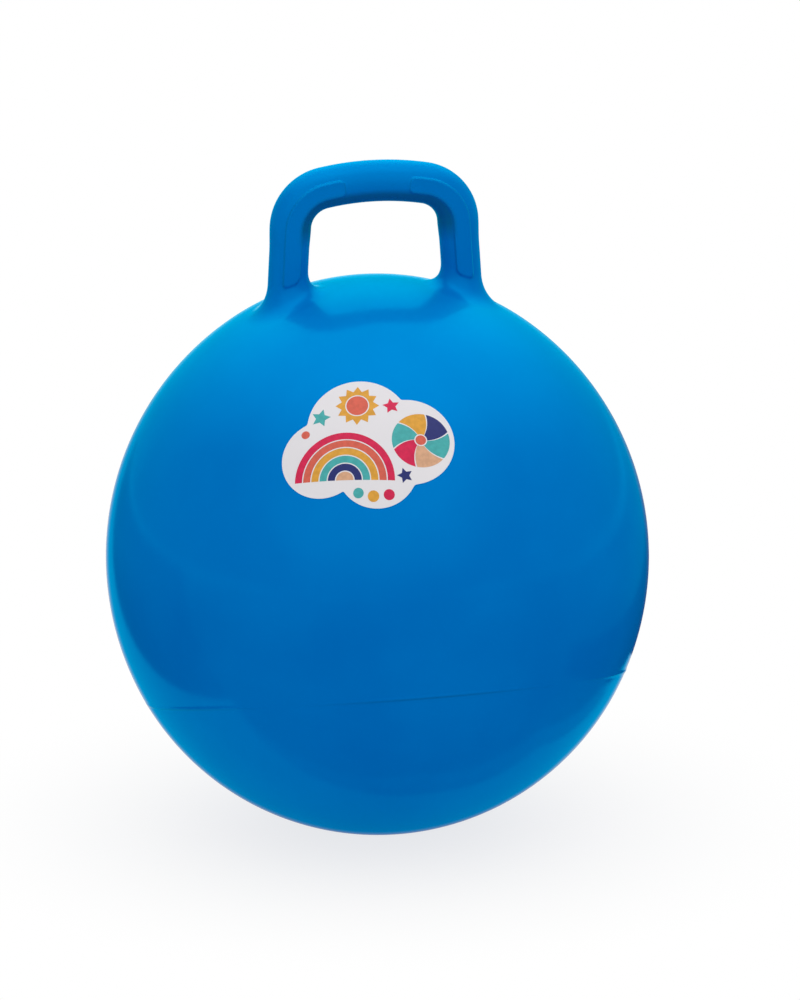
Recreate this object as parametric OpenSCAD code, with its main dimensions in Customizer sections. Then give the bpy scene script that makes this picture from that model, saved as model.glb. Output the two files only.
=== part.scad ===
// Hopper ball with a moulded loop handle, standing on the patch where it presses on the floor.
// Millimetres, +Z up. The origin is the middle of that patch, the handle's loop lies in the
// XZ plane, the decal is on the -Y side and the air valve on the +Y side.

/* [Ball] */
// Diameter of the inflated ball at its widest
ball_d = 450; // [400:1:520]
// How much taller the upper half is than half a true sphere
crown_rise = 9.7; // [5:0.1:12]
// How far the arc centre of the upper flank lies past the axis
crown_bow = 14.6; // [13:0.1:22]
// How much taller the lower half is than half a true sphere
base_rise = 6.6; // [3:0.1:12]
// How far the arc centre of the lower flank lies past the axis
base_bow = 18.5; // [13:0.1:24]
// Thickness of the ball's skin
skin_t = 1.2; // [0.8:0.1:2]
// Diameter of the patch that presses flat on the floor
rest_d = 56; // [48:1:80]

/* [Handle] */
// Diameter of the loop at the bar and the bends
grip_d = 34; // [28:0.5:40]
// Diameter of each leg where its foot begins
leg_d = 32.6; // [28:0.2:38]
// Wall of the hollow loop
handle_wall = 2.4; // [1.6:0.1:4]
// Clear height for the hand, from the crown of the ball to the underside of the bar
hand_gap = 67; // [60:1:90]
// Distance between the legs' centre lines where they meet the ball
foot_spacing = 147; // [130:1:180]
// Lean of each leg towards the middle
leg_lean = 3.5; // [0:0.1:8]
// Radius of the centre line at the bends
bend_r = 34; // [26:0.5:40]
// Radius of the centre line along the crowned bar
bar_r = 230; // [160:1:400]
// Reach of the fillet that flares each foot onto the ball
foot_fillet = 21; // [8:0.5:24]

/* [Grip pads] */
// Width of the raised pads on the front and back of the loop
pad_w = 13.7; // [8:0.1:18]
// Height of a pad's flat face over the crest of the loop
pad_h = 0.8; // [0.4:0.1:2]
// Bare length in the middle of the bar between the two pads
pad_gap = 54; // [20:1:60]

/* [Valve] */
// Angle of the valve above the widest line, on the back
valve_lat = 24; // [10:1:45]
// Diameter of the bush where it fills the hole in the skin
seat_d = 26; // [25:0.5:34]
// Diameter of the flange bonded to the inside of the skin
flange_d = 40; // [36:0.5:56]
// Thickness of that flange
flange_t = 2; // [1:0.1:4]
// Diameter of the sleeve round the air bore
sleeve_d = 15; // [13:0.5:20]
// Reach of the sleeve inwards from the flange
sleeve_l = 15; // [12:0.5:24]
// Diameter of the plug's shank
shank_d = 8; // [6:0.1:10]
// Length of the plug's shank below its head
shank_l = 13; // [8:0.5:18]
// Diameter of the plug's head
head_d = 20; // [16:0.1:22]
// Thickness of the plug's head at its rim
head_t = 1.9; // [1.4:0.1:2.6]

/* [Decal] */
// Width of the die-cut film
decal_w = 137.5; // [90:0.5:170]
// Thickness of the film
decal_t = 0.25; // [0.15:0.05:0.6]
// Angle of the film's middle above the widest line
decal_lat = 39.3; // [20:0.1:45]
// Angle of the film's middle to the left of the loop's front
decal_turn = 13.2; // [-20:0.1:20]

/* [Fits] */
// Gap at a bonded face: foot on ball, bush in skin, film on ball
bond_gap = 0.1; // [0.05:0.05:0.3]
// Radial clearance of the plug's shank in the bore
bore_clear = 0.05; // [0.02:0.01:0.1]
// Clearance round the plug's head in its recess
head_clear = 0.4; // [0.3:0.05:0.8]

/* [Hidden] */
$fn = 96;
past = 30; // how far a cutter runs past what it cuts
arc_step = 2.5; // degrees between the outline's points

// Ball: each half is a flank arc and a cap arc that share a tangent.
ball_r = ball_d / 2;
function cap_centre(rise, bow) = (bow * bow - (bow - rise) * (bow - rise)) / (2 * (bow - rise));
crown_c = cap_centre(crown_rise, crown_bow);
base_c = cap_centre(base_rise, base_bow);
crown_r = ball_r + crown_rise - crown_c;
base_r = ball_r + base_rise - base_c;
base_to_floor = sqrt(base_r * base_r - rest_d * rest_d / 4);
equator_z = base_c + base_to_floor;
crown_z = equator_z + ball_r + crown_rise;

// Point of the ball's outline, [radius, height], whose outward normal rises at the angle lat.
function outline_at(lat, grow) =
    let (up = lat >= 0,
         bow = up ? crown_bow : base_bow,
         flank_r = ball_r + bow + grow,
         cap_r = (up ? crown_r : base_r) + grow,
         cap_c = up ? crown_c : -base_c)
    abs(lat) < abs(atan2(cap_c, bow))
        ? [flank_r * cos(lat) - bow, equator_z + flank_r * sin(lat)]
        : [cap_r * cos(lat), equator_z + cap_c + cap_r * sin(lat)];

// Outline from the edge of the rest patch up to the crown, moved outwards by grow.
function outline(grow) =
    let (start = -asin((base_to_floor + grow) / (base_r + grow)),
         first = arc_step * (floor(start / arc_step) + 1))
    concat([outline_at(start, grow)],
           [for (lat = [first : arc_step : 90]) outline_at(lat, grow)]);

function reversed(list) = [for (i = [len(list) - 1 : -1 : 0]) list[i]];

// Handle: the centre line of its right half runs along the bar, round the bend and down the leg.
grip_r = grip_d / 2;
leg_r = leg_d / 2;
foot = [foot_spacing / 2, equator_z + crown_c + sqrt(crown_r * crown_r - foot_spacing * foot_spacing / 4)];
leg_dir = [-sin(leg_lean), cos(leg_lean)];
leg_out = [cos(leg_lean), sin(leg_lean)];
bar_centre = [0, crown_z + hand_gap + grip_r - bar_r];
to_bend = foot - bend_r * leg_out - bar_centre;
leg_l = -to_bend * leg_dir
    + sqrt(pow(to_bend * leg_dir, 2) - to_bend * to_bend + pow(bar_r - bend_r, 2));
bend_centre = foot + leg_l * leg_dir - bend_r * leg_out;
bar_half = atan2(bend_centre.x - bar_centre.x, bend_centre.y - bar_centre.y);
bend_steps = 8;
pad_step = 0.4; // length over which a pad's end rises, and its side slopes
pad_end = asin(pad_gap / 2 / bar_r);
pad_ramp = asin(pad_step / bar_r);

// Angles round a section of radius r, with a pair of points at each edge of each pad.
function quarter(edge) = [0, edge / 4, edge / 2, edge * 3 / 4, edge];
function half_ring(edge, slope) = concat(
    quarter(edge), [edge + slope, 90, 180 - edge - slope],
    [for (i = [4 : -1 : 1]) 180 - quarter(edge)[i]]);
function ring_angles(r) =
    let (edge = acos(pad_w / 2 / r),
         half = half_ring(edge, asin(pad_step / r)))
    concat(half, [for (a = half) a + 180]);
sides = len(ring_angles(grip_r));

// How far a pad lifts the point at angle a of a section of radius r, along Y.
function pad_lift(r, a) =
    abs(r * cos(a)) < pad_w / 2 - pad_step / 4 ? sign(sin(a)) * (grip_r + pad_h) - r * sin(a) : 0;

function in_3d(p, y) = [p.x, y, p.y];

// Ring of the loop square to its centre line, at the point p with the outward normal out.
function loop_ring(p, out, r, pad) =
    [for (a = ring_angles(r)) in_3d(p + r * cos(a) * out, r * sin(a) + pad * pad_lift(r, a))];
function bar_ring(a, r, pad) =
    loop_ring(bar_centre + bar_r * [sin(a), cos(a)], [sin(a), cos(a)], r, pad);
function bend_ring(t, r, pad) =
    let (a = bar_half + t * (90 - leg_lean - bar_half))
    loop_ring(bend_centre + bend_r * [sin(a), cos(a)], [sin(a), cos(a)], r, pad);

// Where a line down the leg's side at angle a, at radius r from its centre line, meets the crown cap.
cap_middle = [0, 0, equator_z + crown_c];
down_leg = -in_3d(leg_dir, 0);
function leg_side(a, r) = in_3d(r * cos(a) * leg_out, r * sin(a));
function on_cap(a, r) =
    let (from = in_3d(foot, 0) + leg_side(a, r) - cap_middle,
         along = from * down_leg)
    cap_middle + from - (along + sqrt(along * along - from * from + crown_r * crown_r)) * down_leg;
function unit(v) = v / norm(v);

// Outward normal of the crown cap at the rim of the foot's fillet.
function rim_normal(a) =
    let (n = unit(on_cap(a, leg_r) - cap_middle),
         side = unit(leg_side(a, 1)),
         away = unit(side - (side * n) * n))
    cos(rim_turn) * n + sin(rim_turn) * away;
rim_turn = foot_fillet / crown_r * 180 / PI;
rim_t = 0.5; // thickness left at the rim of a foot

// Ring of the fillet at t from the leg, 0, to the rim, 1: a curve tangent to leg and ball alike.
function fillet_ring(t, pad) =
    [for (a = ring_angles(leg_r))
        let (n = rim_normal(a),
             top = on_cap(a, leg_r) - foot_fillet * down_leg,
             rim = cap_middle + (crown_r + rim_t) * n,
             corner = top + ((rim - top) * n) / (down_leg * n) * down_leg)
        (1 - t) * (1 - t) * top + 2 * t * (1 - t) * corner + t * t * rim
            + [0, pad * pad_lift(leg_r, a), 0]];

// Ring of the foot's underside at t from the rim, 0, to the bore, 1.
bore_r = leg_r - handle_wall;
function under_ring(t) =
    let (rims = ring_angles(leg_r))
    [for (i = [0 : sides - 1])
        let (n = unit((1 - t) * rim_normal(rims[i])
                      + t * unit(on_cap(rims[i], bore_r) - cap_middle)))
        cap_middle + (crown_r + bond_gap) * n];

leg_low = 2 * foot_fillet; // the leg's last ring that is square to it, above its foot
inner_r = grip_r - handle_wall;

// Rings of the right half, from the crest of the bar down the outside, under the foot and up the bore.
right_half = concat(
    [bar_ring(0, grip_r, 0), bar_ring(pad_end, grip_r, 0), bar_ring(pad_end + pad_ramp, grip_r, 1)],
    [for (i = [0 : bend_steps]) bend_ring(i / bend_steps, grip_r, 1)],
    [loop_ring(foot + leg_low * leg_dir, leg_out, leg_r, 1)],
    [for (t = [0, 0.15, 0.25]) fillet_ring(t, 1)],
    [for (t = [0.3, 0.45, 0.6, 0.75, 0.9, 1]) fillet_ring(t, 0)],
    [for (t = [0 : 0.2 : 1]) under_ring(t)],
    [for (i = [bend_steps : -1 : 0]) bend_ring(i / bend_steps, inner_r, 0)],
    [bar_ring(0, inner_r, 0)]);
last = len(right_half) - 1;
loop_rings = concat(right_half,
    [for (i = [last - 1 : -1 : 1]) [for (p = right_half[i]) [-p.x, p.y, p.z]]]);

// Valve: the outward normal of the skin there is the plug's own axis.
valve_at = outline_at(valve_lat, 0);
seat_hole_d = seat_d + 2 * bond_gap;
recess_d = head_d + 2 * head_clear;
seat_gap = 0.1; // under the plug's head
recess_depth = head_t + seat_gap;
bore_d = shank_d + 2 * bore_clear;
sleeve_end = skin_t + flange_t + sleeve_l;
head_dome = 0.5; // rise of the head's face in its middle
nail_d = 4.4; // scoop at the edge of the recess, for a fingernail
groove = 0.5; // depth of the shank's grooves
groove_at = [0.66, 0.42]; // how far down the shank they start
tip_l = 2.5; // length of the shank's tapered tip
tip_taper = 1.2; // how much that tip narrows
shank_r = shank_d / 2;
rim_r = head_d / 2;
edge_r = head_t / 2; // rounding of the head's rim

// Half outline of the plug, with the underside of its head at zero.
plug_outline = concat(
    [[0, -shank_l], [shank_r - tip_taper, -shank_l], [shank_r, tip_l - shank_l]],
    [for (share = groove_at) let (z = -share * shank_l) each [
        [shank_r, z], [shank_r - groove, z + groove],
        [shank_r - groove, z + 2 * groove], [shank_r, z + 3 * groove]]],
    [[shank_r, 0], [rim_r, 0]],
    [for (a = [0 : 15 : 90]) [rim_r - edge_r * (1 - cos(a)), edge_r * (1 + sin(a))]],
    [for (t = [0.75 : -0.25 : 0]) [(rim_r - edge_r) * t, head_t + head_dome * (1 - t * t)]]);

// Decal: a die-cut outline of overlapping discs, each [x, y, radius] as a share of its width.
decal_lobes = [[-0.265, -0.09, 0.235], [-0.055, 0.105, 0.3], [0.235, 0.02, 0.265], [0.055, -0.155, 0.235]];

// Solid ball, moved outwards by grow.
module ball_solid(grow) {
    rotate_extrude() polygon(concat([[0, -grow]], outline(grow)));
}

// Places children on the skin at the valve, with +Z along its outward normal.
module at_valve() {
    translate([0, valve_at.x, valve_at.y]) rotate([valve_lat - 90, 0, 0]) children();
}

// Places children on the ball's middle, with +Z out through the middle of the decal.
module towards_decal() {
    translate([0, 0, equator_z]) rotate([0, 0, -decal_turn]) rotate([90 - decal_lat, 0, 0]) children();
}

module leg_bores() {
    for (side = [0, 1]) mirror([side, 0, 0])
        translate(in_3d(foot, 0)) rotate([0, -leg_lean, 0])
            cylinder(r = bore_r, h = 2 * past, center = true);
}

// Thin hollow balloon with its flat rest patch, the air passages to the handle and the valve's hole.
module ball_skin() color("dodgerblue") difference() {
    rotate_extrude()
        polygon(concat([[0, 0]], outline(0), reversed(outline(-skin_t)), [[0, skin_t]]));
    leg_bores();
    at_valve() cylinder(d = seat_hole_d, h = 2 * past, center = true);
}

// Hollow loop handle with flared feet and raised pads.
module handle_loop() color("dodgerblue")
    polyhedron(
        points = [for (ring = loop_rings) each ring],
        faces = [for (i = [0 : len(loop_rings) - 1], j = [0 : sides - 1])
            let (a = i * sides + j,
                 b = i * sides + (j + 1) % sides,
                 c = ((i + 1) % len(loop_rings)) * sides + (j + 1) % sides,
                 d = ((i + 1) % len(loop_rings)) * sides + j)
            each [[a, b, c], [a, c, d]]]);

// Soft bush in the wall: flange inside, sleeve with the air bore, recess for the plug's head.
module valve_seat() color("royalblue") difference() {
    union() {
        intersection() {
            ball_solid(0);
            at_valve() translate([0, 0, -skin_t - flange_t]) cylinder(d = seat_d, h = past);
        }
        intersection() {
            difference() {
                ball_solid(-skin_t - bond_gap);
                ball_solid(-skin_t - flange_t - bond_gap);
            }
            at_valve() translate([0, 0, -past]) cylinder(d = flange_d, h = 2 * past);
        }
        at_valve() translate([0, 0, -sleeve_end]) cylinder(d = sleeve_d, h = sleeve_l + flange_t / 2);
    }
    at_valve() {
        translate([0, 0, -sleeve_end - past]) cylinder(d = bore_d, h = 2 * past);
        translate([0, 0, -recess_depth]) cylinder(d = recess_d, h = past);
        translate([0, recess_d / 2, 0]) sphere(d = nail_d);
    }
}

// Hard stopper: domed head, grooved shank and a tapered tip.
module valve_plug() color("white") at_valve() translate([0, 0, seat_gap - recess_depth])
    rotate_extrude() polygon(plug_outline);

// Thin die-cut film that follows the ball.
module front_decal() color("whitesmoke") intersection() {
    difference() {
        ball_solid(bond_gap + decal_t);
        ball_solid(bond_gap);
    }
    towards_decal() linear_extrude(ball_d)
        for (lobe = decal_lobes)
            translate(decal_w * [lobe.x, lobe.y]) circle(r = decal_w * lobe.z);
}

ball_skin();
handle_loop();
valve_seat();
valve_plug();
front_decal();
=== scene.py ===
# %% [markdown]
# # A hopper ball with a loop handle
#
# The object is a blown-up ball of soft blue vinyl that a child sits and bounces on. It has a moulded
# loop to hold, an air valve in the back and a printed film on the front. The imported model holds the
# solids, of which only the valve's plug moves. This script dresses that model: finer surfaces stand
# for the ball, the loop and the film, and every piece gets a finish.

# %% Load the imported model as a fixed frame
import math

import bpy
import numpy as np
from mathutils import Matrix, Vector


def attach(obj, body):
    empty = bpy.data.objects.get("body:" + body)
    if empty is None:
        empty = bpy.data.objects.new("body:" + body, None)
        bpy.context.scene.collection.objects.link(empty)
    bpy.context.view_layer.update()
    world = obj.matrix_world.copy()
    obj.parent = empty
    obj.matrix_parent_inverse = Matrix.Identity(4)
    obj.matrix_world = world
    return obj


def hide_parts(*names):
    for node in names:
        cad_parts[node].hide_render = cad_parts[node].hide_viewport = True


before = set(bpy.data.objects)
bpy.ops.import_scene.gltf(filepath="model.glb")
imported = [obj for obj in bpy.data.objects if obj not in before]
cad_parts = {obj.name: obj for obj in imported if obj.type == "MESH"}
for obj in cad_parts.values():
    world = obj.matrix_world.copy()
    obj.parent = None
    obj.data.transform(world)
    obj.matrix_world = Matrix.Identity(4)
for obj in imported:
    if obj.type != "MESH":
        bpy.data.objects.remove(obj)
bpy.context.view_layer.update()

# %% [markdown]
# ## The ball's outline
#
# A ball that hangs from its handle while it cures is a little taller than wide. Each half of its
# outline is two arcs that share a tangent: a flank, whose centre lies past the axis, and a cap, whose
# centre lies on the axis. One could spin that outline, but then nothing else could find its place on
# the ball. Here a point is asked for by its outward normal instead, so the seam, the valve's hole and
# the film all ask the same function.

# %% Sizes of the ball, in metres
MM = 0.001
ball_r = 225 * MM
crown_rise = 9.7 * MM
crown_bow = 14.6 * MM
base_rise = 6.6 * MM
base_bow = 18.5 * MM
rest_r = 28 * MM
skin_t = 1.2 * MM


def cap_centre(rise, bow):
    """How far a cap's centre lies from the widest line, so that its arc meets the flank's smoothly."""
    return (bow ** 2 - (bow - rise) ** 2) / (2 * (bow - rise))


crown_c = cap_centre(crown_rise, crown_bow)
base_c = cap_centre(base_rise, base_bow)
crown_r = ball_r + crown_rise - crown_c
base_r = ball_r + base_rise - base_c
equator_z = base_c + math.sqrt(base_r ** 2 - rest_r ** 2)
crown_z = equator_z + ball_r + crown_rise
ball_middle = np.array([0, 0, equator_z])
up = np.array([0.0, 0, 1])
print("widest line at", round(equator_z, 4), "crown at", round(crown_z, 4))


# %% A point of the ball from its normal
def unit(vectors):
    """The vectors, each divided by its own length."""
    return vectors / np.linalg.norm(vectors, axis=-1, keepdims=True)


def ball_point(normal, lift=0.0):
    """Points of the ball with these outward normals, moved outwards by lift.

    On a flank the point is (radius + bow + lift) times the normal, less the bow along the normal's
    level part. On a cap it is the cap's centre plus (cap radius + lift) times the normal. What would
    lie below the floor is pressed flat onto it.
    """
    lift = np.asarray(lift)[..., None] * np.ones(3)
    upper = normal[..., 2:] >= 0
    bow = np.where(upper, crown_bow, base_bow)
    centre = np.where(upper, crown_c, -base_c)
    cap_r = np.where(upper, crown_r, base_r)
    level = normal * [1, 1, 0]
    run = np.maximum(np.linalg.norm(level, axis=-1, keepdims=True), 1e-9)
    flank = (ball_r + bow + lift) * normal - bow * level / run
    cap = (cap_r + lift) * normal + centre * up
    on_flank = np.abs(normal[..., 2:]) * bow < np.abs(centre) * run
    points = np.where(on_flank, flank, cap) + ball_middle
    return np.where(points[..., 2:] < 0, points * [1, 1, 0], points)


print("widest point", ball_point(np.array([1.0, 0, 0])), "crown", ball_point(np.array([0, 0, 1.0])))

# %% [markdown]
# ## The camera
#
# The photograph looks down on the ball from a little to the left. The lens is long, so that the
# handle's far leg is hardly smaller than its near one. The camera's aim and lens are set from two
# measures in the photograph's frame: where the ball's middle lies, and half its width.

# %% Camera at the photograph's angle
photo_w, photo_h = 800, 1000
ball_px = (376.9, 555.7)
ball_half_px = 271.6
view_turn = math.radians(-11)
view_rise = math.radians(16)
view_roll = math.radians(0.5)
view_far = 5.5

to_camera = Vector((math.sin(view_turn) * math.cos(view_rise),
                    -math.cos(view_turn) * math.cos(view_rise), math.sin(view_rise)))
focal_px = ball_half_px * math.sqrt(view_far ** 2 - ball_r ** 2) / ball_r
square_on = (-to_camera).to_track_quat("-Z", "Y").to_matrix()
off_centre = ((photo_w / 2 - ball_px[0]) / focal_px, (ball_px[1] - photo_h / 2) / focal_px, -1)
aim = square_on @ Vector(off_centre)
camera_data = bpy.data.cameras.new("photo_camera")
camera_data.sensor_width = 36
camera_data.lens = focal_px * camera_data.sensor_width / photo_h
camera = bpy.data.objects.new("photo_camera", camera_data)
camera.location = Vector(ball_middle) + view_far * to_camera
facing = aim.to_track_quat("-Z", "Y").to_matrix() @ Matrix.Rotation(-view_roll, 3, "Z")
camera.rotation_euler = facing.to_euler()
bpy.context.scene.collection.objects.link(camera)
bpy.context.scene.camera = camera
print("lens", round(camera_data.lens, 1), "mm")

# %% [markdown]
# ## Shader maths
#
# A finish is a small network of nodes. Written node by node it is long and hard to read, so a wire
# here is a Python value: adding or multiplying two wires adds the Math node for it. Every other kind
# of node comes from one method, which sets the node's own choices first and then its sockets.


# %% Wires and finishes
class Wire:
    """An output socket that can be used in sums; each sum adds a Math node to its tree."""

    def __init__(self, finish, socket):
        self.finish = finish
        self.socket = socket

    def maths(self, operation, first, second):
        return self.finish.node("Math", {"operation": operation}, {0: first, 1: second})

    def __add__(self, other):
        return self.maths("ADD", self, other)

    def __sub__(self, other):
        return self.maths("SUBTRACT", self, other)

    def __rsub__(self, other):
        return self.maths("SUBTRACT", other, self)

    def __mul__(self, other):
        return self.maths("MULTIPLY", self, other)

    __radd__ = __add__
    __rmul__ = __mul__


class Finish:
    """A node tree, for a material or the world, that grows by one method."""

    def __init__(self, owner):
        owner.use_nodes = True
        self.owner = owner
        self.tree = owner.node_tree
        self.tree.nodes.clear()

    def node(self, kind, settings=None, sockets=None, output=0):
        """Adds a node of a kind, sets its choices, then the values or wires of its sockets."""
        made = self.tree.nodes.new("ShaderNode" + kind)
        for choice, value in (settings or {}).items():
            setattr(made, choice, value)
        by_name = {socket.name: socket for socket in reversed(made.inputs)}
        by_identifier = {socket.identifier: socket for socket in reversed(made.inputs)}
        named = {**by_name, **by_identifier}
        for key, value in (sockets or {}).items():
            socket = made.inputs[key] if isinstance(key, int) else named[key]
            if isinstance(value, Wire):
                self.tree.links.new(value.socket, socket)
            else:
                socket.default_value = value
        if output is None:
            return None
        outputs = {socket.identifier: socket for socket in made.outputs}
        return Wire(self, made.outputs[output] if isinstance(output, int) else outputs[output])

    def place(self):
        """Object coordinates, which stay with the piece when it moves."""
        return self.node("TexCoord", output="Object")

    def noise(self, scale, detail, rough=0.5):
        """Soft noise from 0 to 1, with this many waves to the metre."""
        sockets = {"Vector": self.place(), "Scale": scale, "Detail": detail, "Roughness": rough}
        return self.node("TexNoise", {}, sockets)

    def between(self, value, low, high):
        """0 where the value is below low, 1 above high, and a smooth step between."""
        sockets = {"Value": value, "From Min": low, "From Max": high}
        return self.node("MapRange", {"interpolation_type": "SMOOTHSTEP"}, sockets)

    def mix(self, share, first, second):
        """The first colour where share is 0 and the second where it is 1."""
        sockets = {"Factor_Float": share, "A_Color": first, "B_Color": second}
        return self.node("Mix", {"data_type": "RGBA"}, sockets, "Result_Color")

    def bump(self, height, depth, under=None):
        """Normals of a relief this deep in metres, over the relief under it."""
        sockets = {"Height": height, "Distance": depth}
        if under:
            sockets["Normal"] = under
        return self.node("Bump", {}, sockets)

    def principled(self, **sockets):
        """The Principled shader with these sockets, their spaces written as underscores."""
        spaced = {key.replace("_", " "): value for key, value in sockets.items()}
        return self.node("BsdfPrincipled", {}, spaced)

    def end(self, shader, kind="OutputMaterial"):
        """Links a shader to the tree's output, and gives back the material or world."""
        self.node(kind, {}, {"Surface": shader}, None)
        return self.owner


def new_finish(name):
    """An empty finish for a material of this name."""
    return Finish(bpy.data.materials.new(name))


def linear(red, green, blue):
    """A colour given as screen values from 0 to 255, as the shader's own linear values."""
    screen = np.array([red, green, blue]) / 255
    light = np.where(screen <= 0.04045, screen / 12.92, ((screen + 0.055) / 1.055) ** 2.4)
    return (*light.tolist(), 1.0)


# %% [markdown]
# ## The blue vinyl
#
# The ball and its handle come out of one mould, in one thick glossy vinyl. Close to, its blue is a
# little uneven, its gloss is dulled by handling, and the skin has a faint orange peel and slow waves
# where it cured. In the photograph the gloss mirrors a white room as blue, and only the very edge of
# the ball turns white. One plain glossy shader can't do that, so the gloss is a layer of its own, with
# a tint that pales at a glancing angle. Dust hazes the gloss towards the top. Painted shade darkens the
# blue under the grip, in the step round its pads and just below the seam's ridge.


# %% Vinyl finish
vinyl_blues = linear(0, 102, 186), linear(0, 108, 191)
# A darker blue, painted where shade falls: under the grip, in the step round its pads and below the
# seam's ridge.
painted_shade_blue = linear(8, 60, 84)
body_rough = 0.6
plain_rough = 0.12
handled_rough = 0.06
scuffed_rough = 0.05
wave_h = 0.5 * MM
peel_h = 0.01 * MM
vinyl_ior = 1.5
mirror_blue = (0.0, 0.66, 1.0, 1.0)
mirror_white = (1.0, 1.0, 1.0, 1.0)
white_from, white_full = 0.4, 0.85
rim_dull = 0.5
haze_blue = (0.0, 0.95, 1.0, 1.0)
haze_rough = 0.5
haze_most = 0.6
haze_low = 270 * MM
haze_high = 410 * MM


def vinyl_finish(name):
    """Glossy blue vinyl: mottled colour with painted shade, handled gloss, orange peel over slow waves.
    """
    vinyl = new_finish(name)
    mottle = vinyl.between(vinyl.noise(9, 3), 0.3, 0.7)
    unshaded_blue = vinyl.mix(mottle, *vinyl_blues)
    # Painted shade: the stored amount mixes in the darker blue where shade would fall.
    painted_shade = vinyl.node("Attribute", {"attribute_name": "painted_shade"}, {}, "Fac")
    blue = vinyl.mix(painted_shade, unshaded_blue, painted_shade_blue)
    handled = vinyl.noise(38, 4, 0.6)
    scuffs = vinyl.between(vinyl.noise(210, 2), 0.62, 0.8)
    rough = plain_rough + handled * handled_rough + scuffs * scuffed_rough
    waves = vinyl.bump(vinyl.noise(14, 1), wave_h)
    peel = vinyl.bump(vinyl.noise(700, 1), peel_h, waves)
    body = vinyl.principled(Base_Color=blue, Roughness=body_rough, Normal=peel, Specular_IOR_Level=0.0)
    height = vinyl.node("SeparateXYZ", {}, {"Vector": vinyl.place()}, "Z")
    haze = haze_most * vinyl.between(height, haze_low, haze_high)
    fresnel = vinyl.node("Fresnel", {}, {"IOR": vinyl_ior, "Normal": peel})
    glancing = vinyl.between(fresnel, white_from, white_full)
    mirror = vinyl.mix(glancing, mirror_blue, mirror_white)
    sharp = vinyl.node("BsdfAnisotropic", {}, {"Color": mirror, "Roughness": rough, "Normal": peel})
    dust = {"Color": haze_blue, "Roughness": haze_rough, "Normal": peel}
    dusty = vinyl.node("BsdfAnisotropic", {}, dust)
    gloss = vinyl.node("MixShader", {}, {0: haze, 1: sharp, 2: dusty})
    share = fresnel * (1 - rim_dull * fresnel)
    return vinyl.end(vinyl.node("MixShader", {}, {0: share, 1: body, 2: gloss}))


blue_vinyl = vinyl_finish("blue_vinyl")
print(blue_vinyl.name, len(blue_vinyl.node_tree.nodes), "nodes")

# %% [markdown]
# ## Grids into pieces
#
# Every new surface is a grid of points: rows along one parameter, columns along the other. These
# helpers number the grid's quads, and turn points and faces into an object that sits at the origin
# and rides on one body of the model.


# %% Grid helpers
def grid_faces(rows, columns, closed):
    """Corner numbers of a grid's quads, by row and column; closed joins the last column to the first.

    Where rows run outwards, a quad faces the side from which its columns run counterclockwise.
    """
    row = np.arange(rows - 1)[:, None] * columns
    column = np.arange(columns if closed else columns - 1)[None, :]
    following = (column + 1) % columns
    corners = [row + column, row + columns + column, row + columns + following, row + following]
    return np.stack(corners, axis=-1)


def add_piece(name, points, faces, finish, body, crease=35):
    """Makes a mesh object from points and faces, shaded smooth up to the crease angle in degrees."""
    mesh = bpy.data.meshes.new(name)
    mesh.from_pydata(points.reshape(-1, 3).tolist(), [], faces)
    mesh.polygons.foreach_set("use_smooth", np.ones(len(mesh.polygons), bool))
    mesh.set_sharp_from_angle(angle=math.radians(crease))
    mesh.materials.append(finish)
    piece = bpy.data.objects.new(name, mesh)
    bpy.context.scene.collection.objects.link(piece)
    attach(piece, body)
    print(name, len(mesh.vertices), "points", len(mesh.polygons), "faces")
    return piece


def add_painted_shade(piece, amount):
    """Stores how much painted shade each point of a piece gets, from 0 to 1, for the vinyl's finish to
    read.
    """
    painted_shade = piece.data.attributes.new("painted_shade", "FLOAT", "POINT")
    painted_shade.data.foreach_set("value", amount)
    print(piece.name, "with_painted_shade up to", round(float(amount.max()), 2))


# %% [markdown]
# ## The ball
#
# The skin is one grid of rows round the mould's own axis, which leans back from the handle's. That
# makes the mould's parting line one of the rows, so its low ridge is real relief, with rows packed
# close on both sides of it. A window of the grid is left out round the valve, and a ring of quads
# closes it down to the round hole that the valve's bush sits in.

# %% Parting line on the ball
mould_back = math.radians(13.4)
mould_left = math.radians(0.8)
seam_polar = math.radians(116.8)
seam_fades = 5
seam_faint_at = math.radians(-125)
ridge_h = 0.5 * MM
ridge_w = 1.5 * MM
# The next three set painted shade: a dark line just below the ridge, where its shade would fall.
seam_shade_low = 0.7 * MM
seam_shade_w = 0.9 * MM
seam_shade_most = 0.3

mould_axis = unit(np.array([-math.sin(mould_left), math.sin(mould_back), math.cos(mould_back)]))
mould_right = unit(np.cross([0, 1, 0], mould_axis))
mould_behind = np.cross(mould_axis, mould_right)
print("mould axis", np.round(mould_axis, 3).tolist())


def seam_bell(polar, turn, low, width):
    """A bell across the parting line, centred at low below it, that fades in and out along it."""
    across = (polar - seam_polar) * ball_r - low
    strength = np.sin(seam_fades / 2 * (turn - seam_faint_at)) ** 2
    return strength * np.exp(-(across / width) ** 2)


# %% Skin of the ball
valve_rise = math.radians(24)
valve_out = np.array([0, math.cos(valve_rise), math.sin(valve_rise)])
valve_up = np.array([0, -math.sin(valve_rise), math.cos(valve_rise)])
valve_side = np.array([1.0, 0, 0])
valve_hole_r = 13.1 * MM
valve_meridian_r = ball_r + crown_bow
valve_parallel_r = ball_r + crown_bow - crown_bow / math.cos(valve_rise)

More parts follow.
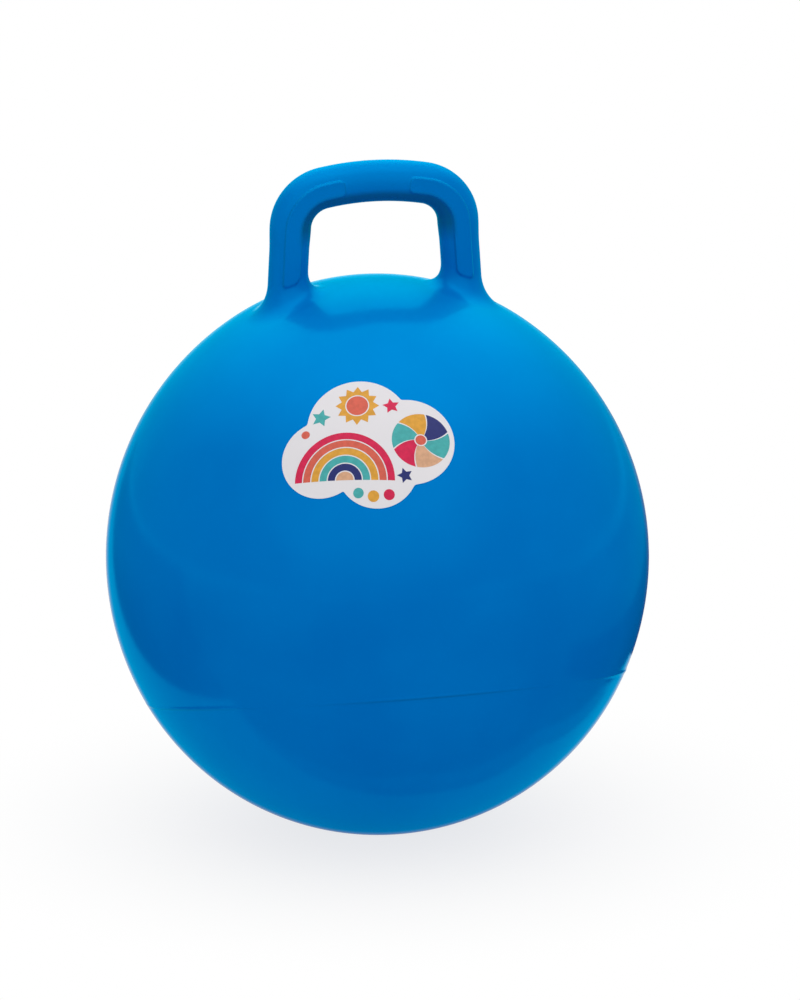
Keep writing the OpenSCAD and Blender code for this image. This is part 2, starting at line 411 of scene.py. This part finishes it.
columns = 320
row_step = math.radians(1.25)
band = 8 * MM / ball_r
band_steps = 36
upper_rows = np.arange(row_step, seam_polar - band - row_step / 2, row_step)
band_rows = np.linspace(seam_polar - band, seam_polar + band, band_steps + 1)
lower_rows = np.arange(seam_polar + band + row_step, math.pi - row_step / 2, row_step)
skin_polar = np.concatenate([upper_rows, band_rows, lower_rows])
valve_turn = math.atan2(valve_out @ mould_behind, valve_out @ mould_right)
skin_turn = valve_turn + math.pi + np.linspace(0, 2 * math.pi, columns, endpoint=False)


def mould_normal(polar, turn):
    """Normals at polar angles from the mould's axis and turns about it."""
    polar = polar[..., None]
    turn = turn[..., None]
    level = np.cos(turn) * mould_right + np.sin(turn) * mould_behind
    return np.cos(polar) * mould_axis + np.sin(polar) * level


polar_grid, turn_grid = np.meshgrid(skin_polar, skin_turn, indexing="ij")
skin_normals = mould_normal(polar_grid, turn_grid)
skin_points = ball_point(skin_normals, ridge_h * seam_bell(polar_grid, turn_grid, 0, ridge_w))
print("skin grid", skin_points.shape[:2], "valve at turn", round(math.degrees(valve_turn), 1))

# %% Window round the valve
window = 40 * MM / ball_r
ring_steps = 8
valve_polar = math.acos(valve_out @ mould_axis)
rows_in = np.flatnonzero(np.abs(skin_polar - valve_polar) < window)
off_valve = np.abs(skin_turn - valve_turn - 2 * math.pi) * math.sin(valve_polar)
columns_in = np.flatnonzero(off_valve < window)
first_row, last_row = rows_in[0], rows_in[-1]
first_column, last_column = columns_in[0], columns_in[-1]
number = np.arange(skin_points[..., 0].size).reshape(skin_points.shape[:2])
inside = number[first_row:last_row + 1, first_column:last_column + 1]
border = np.concatenate([inside[0, :-1], inside[:-1, -1], inside[-1, :0:-1], inside[:0:-1, 0]])
border_normals = skin_normals.reshape(-1, 3)[border]

bearing = np.arctan2(border_normals @ valve_up, border_normals @ valve_side)[:, None]
hole_normals = unit(valve_out + valve_hole_r * (np.cos(bearing) * valve_side / valve_parallel_r
                                                + np.sin(bearing) * valve_up / valve_meridian_r))
inwards = np.linspace(0, 1, ring_steps + 1)[1:, None, None]
ring_normals = unit((1 - inwards) * border_normals + inwards * hole_normals)
ring_points = np.concatenate([ball_point(ring_normals), ball_point(hole_normals, -skin_t)[None]])
print("window", inside.shape, "ring", ring_points.shape[:2])

# %% Ball piece
grid_quads = grid_faces(len(skin_polar), columns, closed=True)
kept = np.ones(grid_quads.shape[:2], bool)
kept[first_row:last_row, first_column:last_column] = False
ring_count = len(border)
ring_numbers = number.size + np.arange(ring_points[..., 0].size).reshape(-1, ring_count)
loops = np.concatenate([border[None], ring_numbers])
ring_quads = loops.ravel()[grid_faces(len(loops), ring_count, closed=True)]
poles = number.size + ring_points[..., 0].size + np.arange(2)
last = number[-1]
top_fan = np.stack([number[0], np.roll(number[0], -1), np.full(columns, poles[0])], axis=-1)
base_fan = np.stack([np.roll(last, -1), last, np.full(columns, poles[1])], axis=-1)
ball_faces = [*grid_quads[kept].tolist(), *ring_quads.reshape(-1, 4).tolist(),
              *top_fan.tolist(), *base_fan.tolist()]
pole_points = ball_point(np.stack([mould_axis, -mould_axis]))
ball_points = np.concatenate([skin_points.reshape(-1, 3), ring_points.reshape(-1, 3), pole_points])
ball_cover = add_piece("ball_cover", ball_points, ball_faces, blue_vinyl, "ball")
# Painted shade just below the seam's ridge, for the vinyl's finish to read.
ball_painted_shade = np.zeros(len(ball_points))
ball_painted_shade[:number.size] = seam_shade_most * seam_bell(polar_grid, turn_grid, seam_shade_low, seam_shade_w).ravel()
add_painted_shade(ball_cover, ball_painted_shade)
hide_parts("ball_skin")

# %% [markdown]
# ## The loop handle
#
# The loop is a hollow tube: a crowned bar, two bends and two legs that flare onto the ball. A tube
# could be swept along a curve with a bevel, but its feet have to follow the ball and its grip pads
# are flat, so each ring is worked out. The pads are raised strips on the front and back: inside a
# rounded outline, measured along and across the loop, a point is moved out to the pad's flat face.

# %% Sizes of the handle
grip_r = 17 * MM
leg_r = 16.3 * MM
hand_gap = 67 * MM
foot_x = 73.5 * MM
leg_lean = math.radians(3.5)
bend_r = 34 * MM
bar_r = 230 * MM
foot_fillet = 21 * MM
pad_w = 13.7 * MM
pad_h = 0.8 * MM
pad_gap = 54 * MM
pad_corner = 4.5 * MM
pad_edge = 0.7 * MM
pad_low = 17 * MM

foot = np.array([foot_x, equator_z + crown_c + math.sqrt(crown_r ** 2 - foot_x ** 2)])
leg_up = np.array([-math.sin(leg_lean), math.cos(leg_lean)])
leg_out = np.array([math.cos(leg_lean), math.sin(leg_lean)])
bar_centre = np.array([0, crown_z + hand_gap + grip_r - bar_r])
to_bend = foot - bend_r * leg_out - bar_centre
along_leg = to_bend @ leg_up
leg_l = -along_leg + math.sqrt(along_leg ** 2 - to_bend @ to_bend + (bar_r - bend_r) ** 2)
bend_centre = foot + leg_l * leg_up - bend_r * leg_out
bar_half = math.atan2(*(bend_centre - bar_centre))
print("leg", round(leg_l, 4), "bar half angle", round(math.degrees(bar_half), 2))

# %% Rings of the handle's right half
ring_sides = 192
row_gap = 1.0 * MM
round_angle = np.linspace(0, 2 * math.pi, ring_sides, endpoint=False)


def ring(centre, out, radius):
    """Rings of points: centre + radius * (cos a * out + sin a * across), with across along Y."""
    spokes = radius[:, None] * np.cos(round_angle)
    level = centre[:, None, :] + spokes[..., None] * out[:, None, :]
    across = radius[:, None] * np.sin(round_angle)
    return np.stack([level[..., 0], across, level[..., 1]], axis=-1)


def arc(centre, radius, start, stop):
    """Points and outward directions along an arc, its angles counted from straight up."""
    steps = max(2, round(radius * (stop - start) / row_gap))
    angle = np.linspace(start, stop, steps + 1)
    out = np.stack([np.sin(angle), np.cos(angle)], axis=-1)
    return centre + radius * out, out


bar_line, bar_out = arc(bar_centre, bar_r, 0, bar_half)
bend_line, bend_out = arc(bend_centre, bend_r, bar_half, math.pi / 2 - leg_lean)
leg_low = 2 * foot_fillet
leg_rows = round((leg_l - leg_low) / row_gap)
leg_share = np.linspace(0, 1, leg_rows + 1)[1:, None]
leg_line = foot + (leg_l + (leg_low - leg_l) * leg_share) * leg_up
leg_outs = np.repeat(leg_out[None], leg_rows, axis=0)
ease = (leg_share * leg_share * (3 - 2 * leg_share))[:, 0]
upper_line = np.concatenate([bar_line, bend_line[1:], leg_line])
upper_out = np.concatenate([bar_out, bend_out[1:], leg_outs])
grip_rows = len(bar_line) + len(bend_line) - 1
upper_r = np.concatenate([np.full(grip_rows, grip_r), grip_r + (leg_r - grip_r) * ease])
upper_rings = ring(upper_line, upper_out, upper_r)
print("rings down to the foot", upper_rings.shape)

# %% Flared foot
rim_lift = 0.01 * MM
skirt_depth = 0.6 * MM
flare_steps = 32
straight_steps = 16
cap_middle = ball_middle + crown_c * up
down_leg = np.array([-leg_up[0], 0, -leg_up[1]])
foot_sides = np.stack([np.cos(round_angle) * leg_out[0], np.sin(round_angle),
                       np.cos(round_angle) * leg_out[1]], axis=-1)
leg_wall = np.array([foot[0], 0, foot[1]]) + leg_r * foot_sides - cap_middle
reach = leg_wall @ down_leg
onto_cap = reach + np.sqrt(reach ** 2 - (leg_wall ** 2).sum(-1) + crown_r ** 2)
meeting = leg_wall - onto_cap[:, None] * down_leg
meeting_n = unit(meeting)
away = unit(foot_sides - (foot_sides * meeting_n).sum(-1, keepdims=True) * meeting_n)
rim_turn = foot_fillet / crown_r
rim_n = math.cos(rim_turn) * meeting_n + math.sin(rim_turn) * away
flare_top = cap_middle + meeting - foot_fillet * down_leg
flare_rim = cap_middle + (crown_r + rim_lift) * rim_n
drop = ((flare_rim - flare_top) * rim_n).sum(-1) / (rim_n @ down_leg)
flare_corner = flare_top + drop[:, None] * down_leg
curve = np.linspace(0, 1, flare_steps + 1)[1:, None, None]
flare = (1 - curve) ** 2 * flare_top + 2 * curve * (1 - curve) * flare_corner + curve ** 2 * flare_rim
skirt = cap_middle + (crown_r - skirt_depth) * rim_n
straight = np.linspace(0, 1, straight_steps + 1)[1:, None, None]
lower_rings = (1 - straight) * upper_rings[-1] + straight * flare_top
right_half = np.concatenate([upper_rings, lower_rings, flare])
print("rings of one half", right_half.shape)


# %% Grip pads
def pad_mask(along, across, length):
    """1 inside a rounded rectangle and 0 outside, with a smooth edge.

    The rectangle runs from 0 to length and half a pad's width to each side. The distance to it is
    that to a smaller rectangle, less the corner's radius.
    """
    beyond_x = np.abs(along - length / 2) - length / 2 + pad_corner
    beyond_y = np.abs(across) - pad_w / 2 + pad_corner
    outside = np.hypot(np.maximum(beyond_x, 0), np.maximum(beyond_y, 0))
    distance = outside + np.minimum(np.maximum(beyond_x, beyond_y), 0) - pad_corner
    share = np.clip(0.5 - distance / (2 * pad_edge), 0, 1)
    return share * share * (3 - 2 * share)


front_line = right_half[:, 3 * ring_sides // 4]
run = np.concatenate([[0], np.cumsum(np.linalg.norm(np.diff(front_line, axis=0), axis=-1))])
leg_end = run[len(upper_rings) + len(lower_rings) - 1]
pad_l = leg_end + foot_fillet - pad_low - pad_gap / 2
across = leg_r * np.cos(round_angle)[None, :] * np.ones((len(right_half), 1))
across[:len(upper_rings)] = upper_r[:, None] * np.cos(round_angle)
mask = pad_mask((run - pad_gap / 2)[:, None], across, pad_l)
side = np.sign(np.sin(round_angle))
raised = side * np.maximum(np.abs(right_half[..., 1]), grip_r + pad_h)
right_half[..., 1] += mask * (raised - right_half[..., 1])
print("pad length", round(pad_l, 4))

# %% Painted shade under the grip and in the step round its pads
# Painted shade falls under the bar and its bends, fades down the legs, and lines the step round each
# pad.
painted_grip_shade = 0.6
painted_grip_shade_from, painted_grip_shade_full = 0.22, 0.5
painted_grip_shade_fade = 16 * MM
painted_pad_shade = 0.9
inward = -np.cos(round_angle)
facing_hand = np.clip((inward - painted_grip_shade_from) / (painted_grip_shade_full - painted_grip_shade_from), 0, 1)[None, :]
past_bend = run - run[grip_rows - 1]
along_grip = np.clip(1 - past_bend / painted_grip_shade_fade, 0, 1)[:, None]
right_painted_shade = np.maximum(painted_grip_shade * facing_hand * along_grip, painted_pad_shade * mask * (1 - mask))
print("soil on the handle", right_painted_shade.shape)

# %% Handle piece
left_half = (right_half * [-1, 1, 1])[:0:-1]
skirts = [(skirt * [-1, 1, 1])[None], skirt[None]]
handle_rings = np.concatenate([skirts[0], left_half, right_half, skirts[1]])
handle_faces = grid_faces(len(handle_rings), ring_sides, closed=True).reshape(-1, 4)
handle_cover = add_piece("handle_cover", handle_rings, handle_faces.tolist(), blue_vinyl,
                         "ball", crease=60)
# The skirt rings under the feet get no painted shade.
unshaded_foot = np.zeros((1, ring_sides))
handle_painted_shade = np.concatenate([unshaded_foot, right_painted_shade[:0:-1], right_painted_shade, unshaded_foot])
add_painted_shade(handle_cover, handle_painted_shade.ravel())
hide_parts("handle_loop")

# %% [markdown]
# ## The printed film
#
# A die-cut white film with bright toy-shop colours sits on the front. Its picture is a plain one: a
# rainbow, a play ball, a sun, stars and dots. A picture could be painted onto the ball, but its edges
# would blur close to, so every ink is a thin layer of its own over the white. All is drawn flat, in
# metres across and up, and each point is then sent straight back onto the ball.

# %% Place of the film
film_w = 137.5 * MM
film_rise = math.radians(39.3)
film_turn = math.radians(13.2)
film_lift = 0.35 * MM
ink_lift = 0.39 * MM
film_tries = 6
film_out = np.array([-math.sin(film_turn) * math.cos(film_rise),
                     -math.cos(film_turn) * math.cos(film_rise), math.sin(film_rise)])
film_east = np.array([math.cos(film_turn), -math.sin(film_turn), 0])
film_north = np.cross(film_out, film_east)
print("film faces", np.round(film_out, 3).tolist())


def on_film(plan, lift):
    """Points of the ball behind flat points (across, up), moved outwards by lift.

    The normal starts as that of a true sphere, and is turned by what is left of the miss, a few
    times over, until the point lies straight behind its place in the flat drawing.
    """
    level = plan[..., :1] * film_east + plan[..., 1:] * film_north
    depth = np.sqrt(np.maximum(ball_r ** 2 - (plan ** 2).sum(-1, keepdims=True), 0))
    normal = unit(level + depth * film_out)
    for _ in range(film_tries):
        miss = level - (ball_point(normal) - ball_middle)
        miss = miss - (miss @ film_out)[..., None] * film_out
        normal = unit(normal + miss / ball_r)
    return ball_point(normal, lift)


# %% Film finish
film_whites = linear(226, 223, 226), linear(219, 217, 221)
film_specular = 0.15
film_rough, film_worn = 0.3, 0.1
film_grain_h = 0.008 * MM


def film_finish(name):
    """White printed film: faint greying, satin gloss and a fine texture."""
    film = new_finish(name)
    aged = film.noise(30, 3)
    white = film.mix(aged, *film_whites)
    rough = film_rough + film.noise(160, 2) * film_worn
    grain = film.bump(film.noise(900, 2), film_grain_h)
    return film.end(film.principled(Base_Color=white, Roughness=rough, Normal=grain,
                                    Specular_IOR_Level=film_specular))


# %% Film piece
lobes = film_w * np.array([[-0.265, -0.09, 0.235], [-0.055, 0.105, 0.3],
                           [0.235, 0.02, 0.265], [0.055, -0.155, 0.235]])
lobe_blend = 60
film_rings = 24
film_sides = 360
film_tuck = 0.2 * MM
film_angle = np.linspace(0, 2 * math.pi, film_sides, endpoint=False)
film_spoke = np.stack([np.cos(film_angle), np.sin(film_angle)], axis=-1)
lobe_along = film_spoke @ lobes[:, :2].T
lobe_room = lobes[:, 2] ** 2 - (lobes[:, :2] ** 2).sum(-1) + lobe_along ** 2
lobe_reach = np.where(lobe_room > 0, lobe_along + np.sqrt(np.maximum(lobe_room, 0)), 0)
film_reach = (lobe_reach ** lobe_blend).sum(-1) ** (1 / lobe_blend)
film_share = np.linspace(0, 1, film_rings + 1)[1:, None]
film_plan = (film_share * film_reach)[..., None] * film_spoke
film_top = on_film(film_plan, film_lift)
film_edge = on_film(film_plan[-1:], -film_tuck)
film_centre = on_film(np.zeros((1, 2)), film_lift)
film_points = np.concatenate([film_centre, film_top.reshape(-1, 3), film_edge.reshape(-1, 3)])
film_quads = 1 + grid_faces(len(film_top) + 1, film_sides, closed=True).reshape(-1, 4)
first_ring = 1 + np.arange(film_sides)
film_fan = np.stack([np.zeros_like(first_ring), first_ring, np.roll(first_ring, -1)], axis=-1)
film_faces = [*film_quads.tolist(), *film_fan.tolist()]
decal_film = add_piece("decal_film", film_points, film_faces, film_finish("white_film"), "ball")
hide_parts("front_decal")


# %% Shapes of the print
pinhole_r = 0.02 * MM
band_radii = 7
star_radii = 6
tip_steps = 24


def band_plan(middle, inner, outer, start, stop, steps=48, twist=0.0):
    """Flat grid of a ring's sector: radius from inner to outer, angle from start to stop."""
    radius = np.linspace(inner, outer, band_radii)[:, None]
    angle = np.radians(np.linspace(start, stop, steps))[None, :] + twist * (radius - inner) / outer
    grid = np.stack([radius * np.cos(angle), radius * np.sin(angle)], axis=-1)
    return middle + grid


def star_plan(middle, size, turn=0.0, tips=5, waist=0.5, inner=pinhole_r):
    """Flat grid of a star, whose spokes run from inner out to straight edges between tip and waist."""
    angle = np.linspace(0, 2 * math.pi, tip_steps * tips + 1)
    half = math.pi / tips
    fold = np.abs((angle + half) % (2 * half) - half)
    edge = size * waist * math.sin(half) / (waist * math.sin(half) * np.cos(fold)
                                            + (1 - waist * math.cos(half)) * np.sin(fold))
    radius = inner + np.linspace(0, 1, star_radii)[:, None] * (edge - inner)
    angle = angle + math.radians(90 + turn)
    return middle + np.stack([radius * np.cos(angle), radius * np.sin(angle)], axis=-1)


def dot_plan(middle, radius):
    """Flat grid of a full disc."""
    return band_plan(middle, pinhole_r, radius, 0, 360)


def spot(x, y):
    """A place on the flat film, in millimetres to the right of its middle and up."""
    return np.array([x, y]) * MM


# %% One ink
ink_thin = 0.93


def ink_finish(name, colour):
    """Printed ink: a colour a little thinner in patches, with the film's gloss and texture."""
    ink = new_finish(name)
    worn = ink.noise(260, 3)
    thin = linear(*[ink_thin * part for part in colour])
    shade = ink.mix(ink.between(worn, 0.3, 0.7), linear(*colour), thin)
    grain = ink.bump(ink.noise(900, 2), film_grain_h)
    return ink.end(ink.principled(Base_Color=shade, Roughness=film_rough + worn * film_worn,
                                  Normal=grain, Specular_IOR_Level=film_specular))


def add_print(name, colour, plans):
    """One ink: its flat grids on the film, joined into one thin piece."""
    starts = np.cumsum([0] + [plan[..., 0].size for plan in plans])
    quads = [start + grid_faces(*plan.shape[:2], closed=False).reshape(-1, 4)
             for start, plan in zip(starts, plans)]
    points = np.concatenate([on_film(plan, ink_lift).reshape(-1, 3) for plan in plans])
    faces = np.concatenate(quads).tolist()
    return add_piece(name, points, faces, ink_finish(name, colour), "ball")


# %% Print the film
ink_colours = {"crimson": (208, 32, 78), "coral": (210, 96, 78), "yellow": (218, 158, 60),
               "teal": (70, 168, 168), "navy": (32, 40, 104), "peach": (214, 166, 132)}
prints = {ink: [] for ink in ink_colours}

bow_middle = spot(-18, -31)
bow_r, bow_step, bow_gap = 40 * MM, 6.6 * MM, 0.9 * MM
bow_inks = ["crimson", "coral", "yellow", "teal", "navy"]
for step, ink in enumerate(bow_inks):
    outer = bow_r - step * bow_step
    prints[ink].append(band_plan(bow_middle, outer - bow_step + bow_gap, outer, 0, 180))
prints["peach"].append(band_plan(bow_middle, pinhole_r, bow_r - len(bow_inks) * bow_step, 0, 180))

play_middle = spot(42, 4)
play_r, hub_r, hub_gap = 23 * MM, 4.2 * MM, 0.9 * MM
panel_inks = ["navy", "yellow", "teal", "crimson", "peach", "teal"]
panel_angle = 360 / len(panel_inks)
panel_gap, panel_steps, panel_twist = 1.5, 24, 0.5
for step, ink in enumerate(panel_inks):
    ends = step * panel_angle + panel_gap, (step + 1) * panel_angle - panel_gap
    panel = band_plan(play_middle, hub_r + hub_gap, play_r, *ends, panel_steps, panel_twist)
    prints[ink].append(panel)
prints["coral"].append(dot_plan(play_middle, hub_r))

sun_middle = spot(-9, 33)
sun_r, sun_hole_r, sun_disc_r = 17.5 * MM, 9.6 * MM, 8.7 * MM
prints["yellow"].append(star_plan(sun_middle, sun_r, tips=12, waist=0.74, inner=sun_hole_r))
prints["coral"].append(dot_plan(sun_middle, sun_disc_r))

stars = [("teal", spot(-38, 23), 8, -14), ("crimson", spot(18, 33), 7, 12),
         ("navy", spot(30, -26.5), 6.5, 20)]
for ink, place, size, lean in stars:
    prints[ink].append(star_plan(place, size * MM, lean))
dots = [("teal", spot(-7, -41.5), 4.2), ("yellow", spot(5, -44), 4.6),
        ("crimson", spot(17.5, -42.5), 4.4), ("coral", spot(-50, 9), 3.4)]
for ink, place, size in dots:
    prints[ink].append(dot_plan(place, size * MM))

for ink, plans in prints.items():
    add_print("print_" + ink, ink_colours[ink], plans)

# %% [markdown]
# ## The valve
#
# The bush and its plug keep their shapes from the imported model, which are exact. The bush is the
# same vinyl, softer and duller. The plug is a hard white stopper with faint moulding marks.

# %% Valve finishes
bush_blues = linear(0, 74, 150), linear(0, 92, 172)
bush_rough, bush_worn = 0.34, 0.12
bush_grain_h = 0.05 * MM
plug_whites = linear(238, 238, 236), linear(226, 228, 230)
plug_rough, plug_worn = 0.28, 0.12
plug_grain_h = 0.01 * MM


def bush_finish(name):
    """Soft dull vinyl, darker in its pores."""
    bush = new_finish(name)
    pores = bush.noise(420, 3)
    blue = bush.mix(pores, *bush_blues)
    grain = bush.bump(pores, bush_grain_h)
    rough = bush_rough + pores * bush_worn
    return bush.end(bush.principled(Base_Color=blue, Roughness=rough, Normal=grain,
                                    Specular_Tint=mirror_blue))


def plug_finish(name):
    """Hard white plastic with faint flow marks and a handled gloss."""
    plug = new_finish(name)
    flow = plug.noise(120, 4, 0.6)
    white = plug.mix(flow, *plug_whites)
    grain = plug.bump(plug.noise(700, 2), plug_grain_h)
    rough = plug_rough + flow * plug_worn
    return plug.end(plug.principled(Base_Color=white, Roughness=rough, Normal=grain))


def dress(node, finish):
    """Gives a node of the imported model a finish."""
    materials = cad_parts[node].data.materials
    materials.clear()
    materials.append(finish)
    print(node, "has", finish.name)


dress("valve_seat", bush_finish("bush_vinyl"))
dress("valve_plug", plug_finish("plug_white"))

# %% [markdown]
# ## Floor, light and background
#
# The ball stands on a wide pale table in a soft, even light. Lamps would show as spots in the gloss, so
# the light comes from the room itself, in broad glows that fade without an edge. Each glow has two
# levels. The first lights matt surfaces, and all of these together are plain, so that a colour comes
# out about as it is written. The second is what the gloss mirrors, since the photograph's gloss shows
# more contrast than its soft light does. The camera sees plain white, except close to the ball, where
# the table's own surface shows through with its soft shadow.


# %% What a ray comes from
def from_camera_to(finish):
    """1 for rays straight from the camera and 0 for all others."""
    return finish.node("LightPath", output="Is Camera Ray")


def seen_share(finish):
    """1 for rays from the camera, from a glossy or a clear surface, and 0 for the light's own."""
    path = [finish.node("LightPath", output=name) for name in
            ("Is Camera Ray", "Is Glossy Ray", "Is Transmission Ray")]
    return finish.node("Clamp", {}, {"Value": path[0] + path[1] + path[2]})


# %% Room
side_level = 0.39
world = bpy.data.worlds.new("white_room")
bpy.context.scene.world = world
room = Finish(world)
ray = room.node("TexCoord", output="Generated")
seen = seen_share(room)


def glow(turn, rise, edge, full, matt, gloss):
    """Light from a way in the room, turned from straight behind the ball and raised, in degrees.

    It is 0 where the cosine of the angle to that way is below edge, and full above full. Matt
    surfaces are lit at the level matt, and glossy ones mirror the level gloss.
    """
    turn = math.radians(turn) - view_turn
    rise = math.radians(rise)
    way = (math.sin(turn) * math.cos(rise), math.cos(turn) * math.cos(rise), math.sin(rise))
    near = room.node("VectorMath", {"operation": "DOT_PRODUCT"}, {0: ray, 1: way}, "Value")
    return room.between(near, edge, full) * (matt + (gloss - matt) * seen)


in_room = side_level + glow(-21, 0, 0.88, 0.97, 0.13, 0.22)  # wall behind
in_room += glow(0, 0, 0.0, 0.7, 0.5, 0.0)  # rim light from behind
in_room += glow(0, 70, 0.46, 1.0, 0.3, 3.6)  # ceiling
in_room += glow(180, 48, 0.45, 1.0, 0.76, 1.7)  # above the camera
in_room += glow(90, 35, 0.3, 1.0, 0.25, 0.56)  # right side
in_room += glow(-90, 35, 0.3, 1.0, 0.1, 0.35)  # left side
in_room += glow(180, 0, 0.3, 1.0, 0.05, 0.03)  # level with the camera
from_camera = from_camera_to(room)
strength = from_camera + (1 - from_camera) * in_room
room.end(room.node("Background", {}, {"Color": (1, 1, 1, 1), "Strength": strength}), "OutputWorld")
print("room", len(world.node_tree.nodes), "nodes")


# %% Table
def add_flat(name, points, finish):
    """One flat face of the stage through these points, which is no part of the object."""
    mesh = bpy.data.meshes.new(name)
    mesh.from_pydata(points, [], [list(range(len(points)))])
    mesh.materials.append(finish)
    flat = bpy.data.objects.new(name, mesh)
    bpy.context.scene.collection.objects.link(flat)
    print(name, len(points), "corners")
    return flat


def grey(level):
    """A grey of this linear level."""
    return (level, level, level, 1)


table_r = 14.0
table_sides = 64
table_greys = grey(0.66), grey(0.7)
table_glow = 0.48
shadow_near, shadow_far = 0.05, 0.4
shadow_lift = 0.78
mirror_lift = 0.4
table = new_finish("pale_table")
distance = table.node("VectorMath", {"operation": "LENGTH"}, {0: table.place()}, "Value")
far = table.between(distance, shadow_near, shadow_far)
pale = table.mix(table.noise(50, 3), *table_greys)
table_matt = table.node("BsdfDiffuse", {}, {"Color": pale})
table_white = table.node("Emission", {}, {"Color": grey(1), "Strength": 1.0})
shaded = (1 - far) * (1 - mirror_lift - (shadow_lift - mirror_lift) * from_camera_to(table))
lit = table_glow + (1 - shaded - table_glow) * seen_share(table)
table_turn = np.linspace(0, 2 * math.pi, table_sides, endpoint=False)
table_points = table_r * np.stack([np.cos(table_turn), np.sin(table_turn), 0 * table_turn], axis=-1)
table_finish = table.end(table.node("MixShader", {}, {0: lit, 1: table_matt, 2: table_white}))
add_flat("table_top", table_points.tolist(), table_finish)

# %% [markdown]
# ## Cards that show in the gloss
#
# The lower half of the ball in the photograph mirrors a white sheet with dull edges in front and on
# the left, and a dark streak on the right. A photographer lays cards round the object for this. Here
# they lie on the table, hidden from the camera, from matt light and from shadows, so that only the
# gloss shows them. Their corners are in metres to the right of the ball and behind it, as the camera
# sees the table, and all but the edge card pale away from the ball.

# %% Card on the table
card_lift = 1 * MM
card_near, card_far = 0.4, 1.6


def beside(right, behind):
    """A place just above the table, in metres to the right of the ball and behind it."""
    turn = -view_turn
    x = right * math.cos(turn) + behind * math.sin(turn)
    y = behind * math.cos(turn) - right * math.sin(turn)
    return (x, y, card_lift)


def add_card(name, near_shade, far_shade, corners):
    """A dull card through these corners, with its grey levels near the ball and far from it."""
    dull = new_finish(name)
    away = dull.node("VectorMath", {"operation": "LENGTH"}, {0: dull.place()}, "Value")
    shade = dull.mix(dull.between(away, card_near, card_far), grey(near_shade), grey(far_shade))
    finish = dull.end(dull.node("BsdfDiffuse", {}, {"Color": shade}))
    card = add_flat(name, [beside(*corner) for corner in corners], finish)
    card.visible_camera = False
    card.visible_diffuse = False
    card.visible_shadow = False


# %% Cards round the white sheet
front_left = (-0.3, -0.21)
front_right = (0.4, -0.12)
strip_front = (0.55, -0.12)
strip_bend = (0.37, 0.08)
strip_outside = [(0.6, 0.3), (0.7, 8)]
strip_inside = [(0.34, 8), (0.34, 0.82), (0.2, 0.74), (0.2, 0.5), (0.333, 0.33), (0.335, 0.109)]
edge_outside = [(0.35, 0.1), (0.235, -0.115), (0.05, -0.19)]
edge_inside = [(0.05, -0.15), (0.205, -0.085), (0.31, 0.125)]
add_card("left_card", 0.06, 0.3, [(-4.4, -0.21), front_left, (-3.7, 8), (-4.4, 8)])
add_card("right_card", 0.25, 0.5, [strip_front, (3, -0.12), (3, 8), *reversed(strip_outside)])
add_card("front_card", 0.25, 0.6, [(-3, -4), (3, -4), (3, -0.12), strip_front, front_right, strip_bend,
                                   *edge_outside, front_left, (-3, -0.21)])
add_card("edge_card", 0.6, 0.6, [*edge_outside, front_left, *edge_inside])
add_card("dark_strip", 0.02, 0.3, [front_right, strip_front, *strip_outside, *strip_inside,
                                   edge_outside[0], strip_bend])

# %% [markdown]
# ## The view transform
#
# The last line sets the scene's view transform to Standard.

# %% Set the view transform
bpy.context.scene.view_settings.view_transform = "Standard"
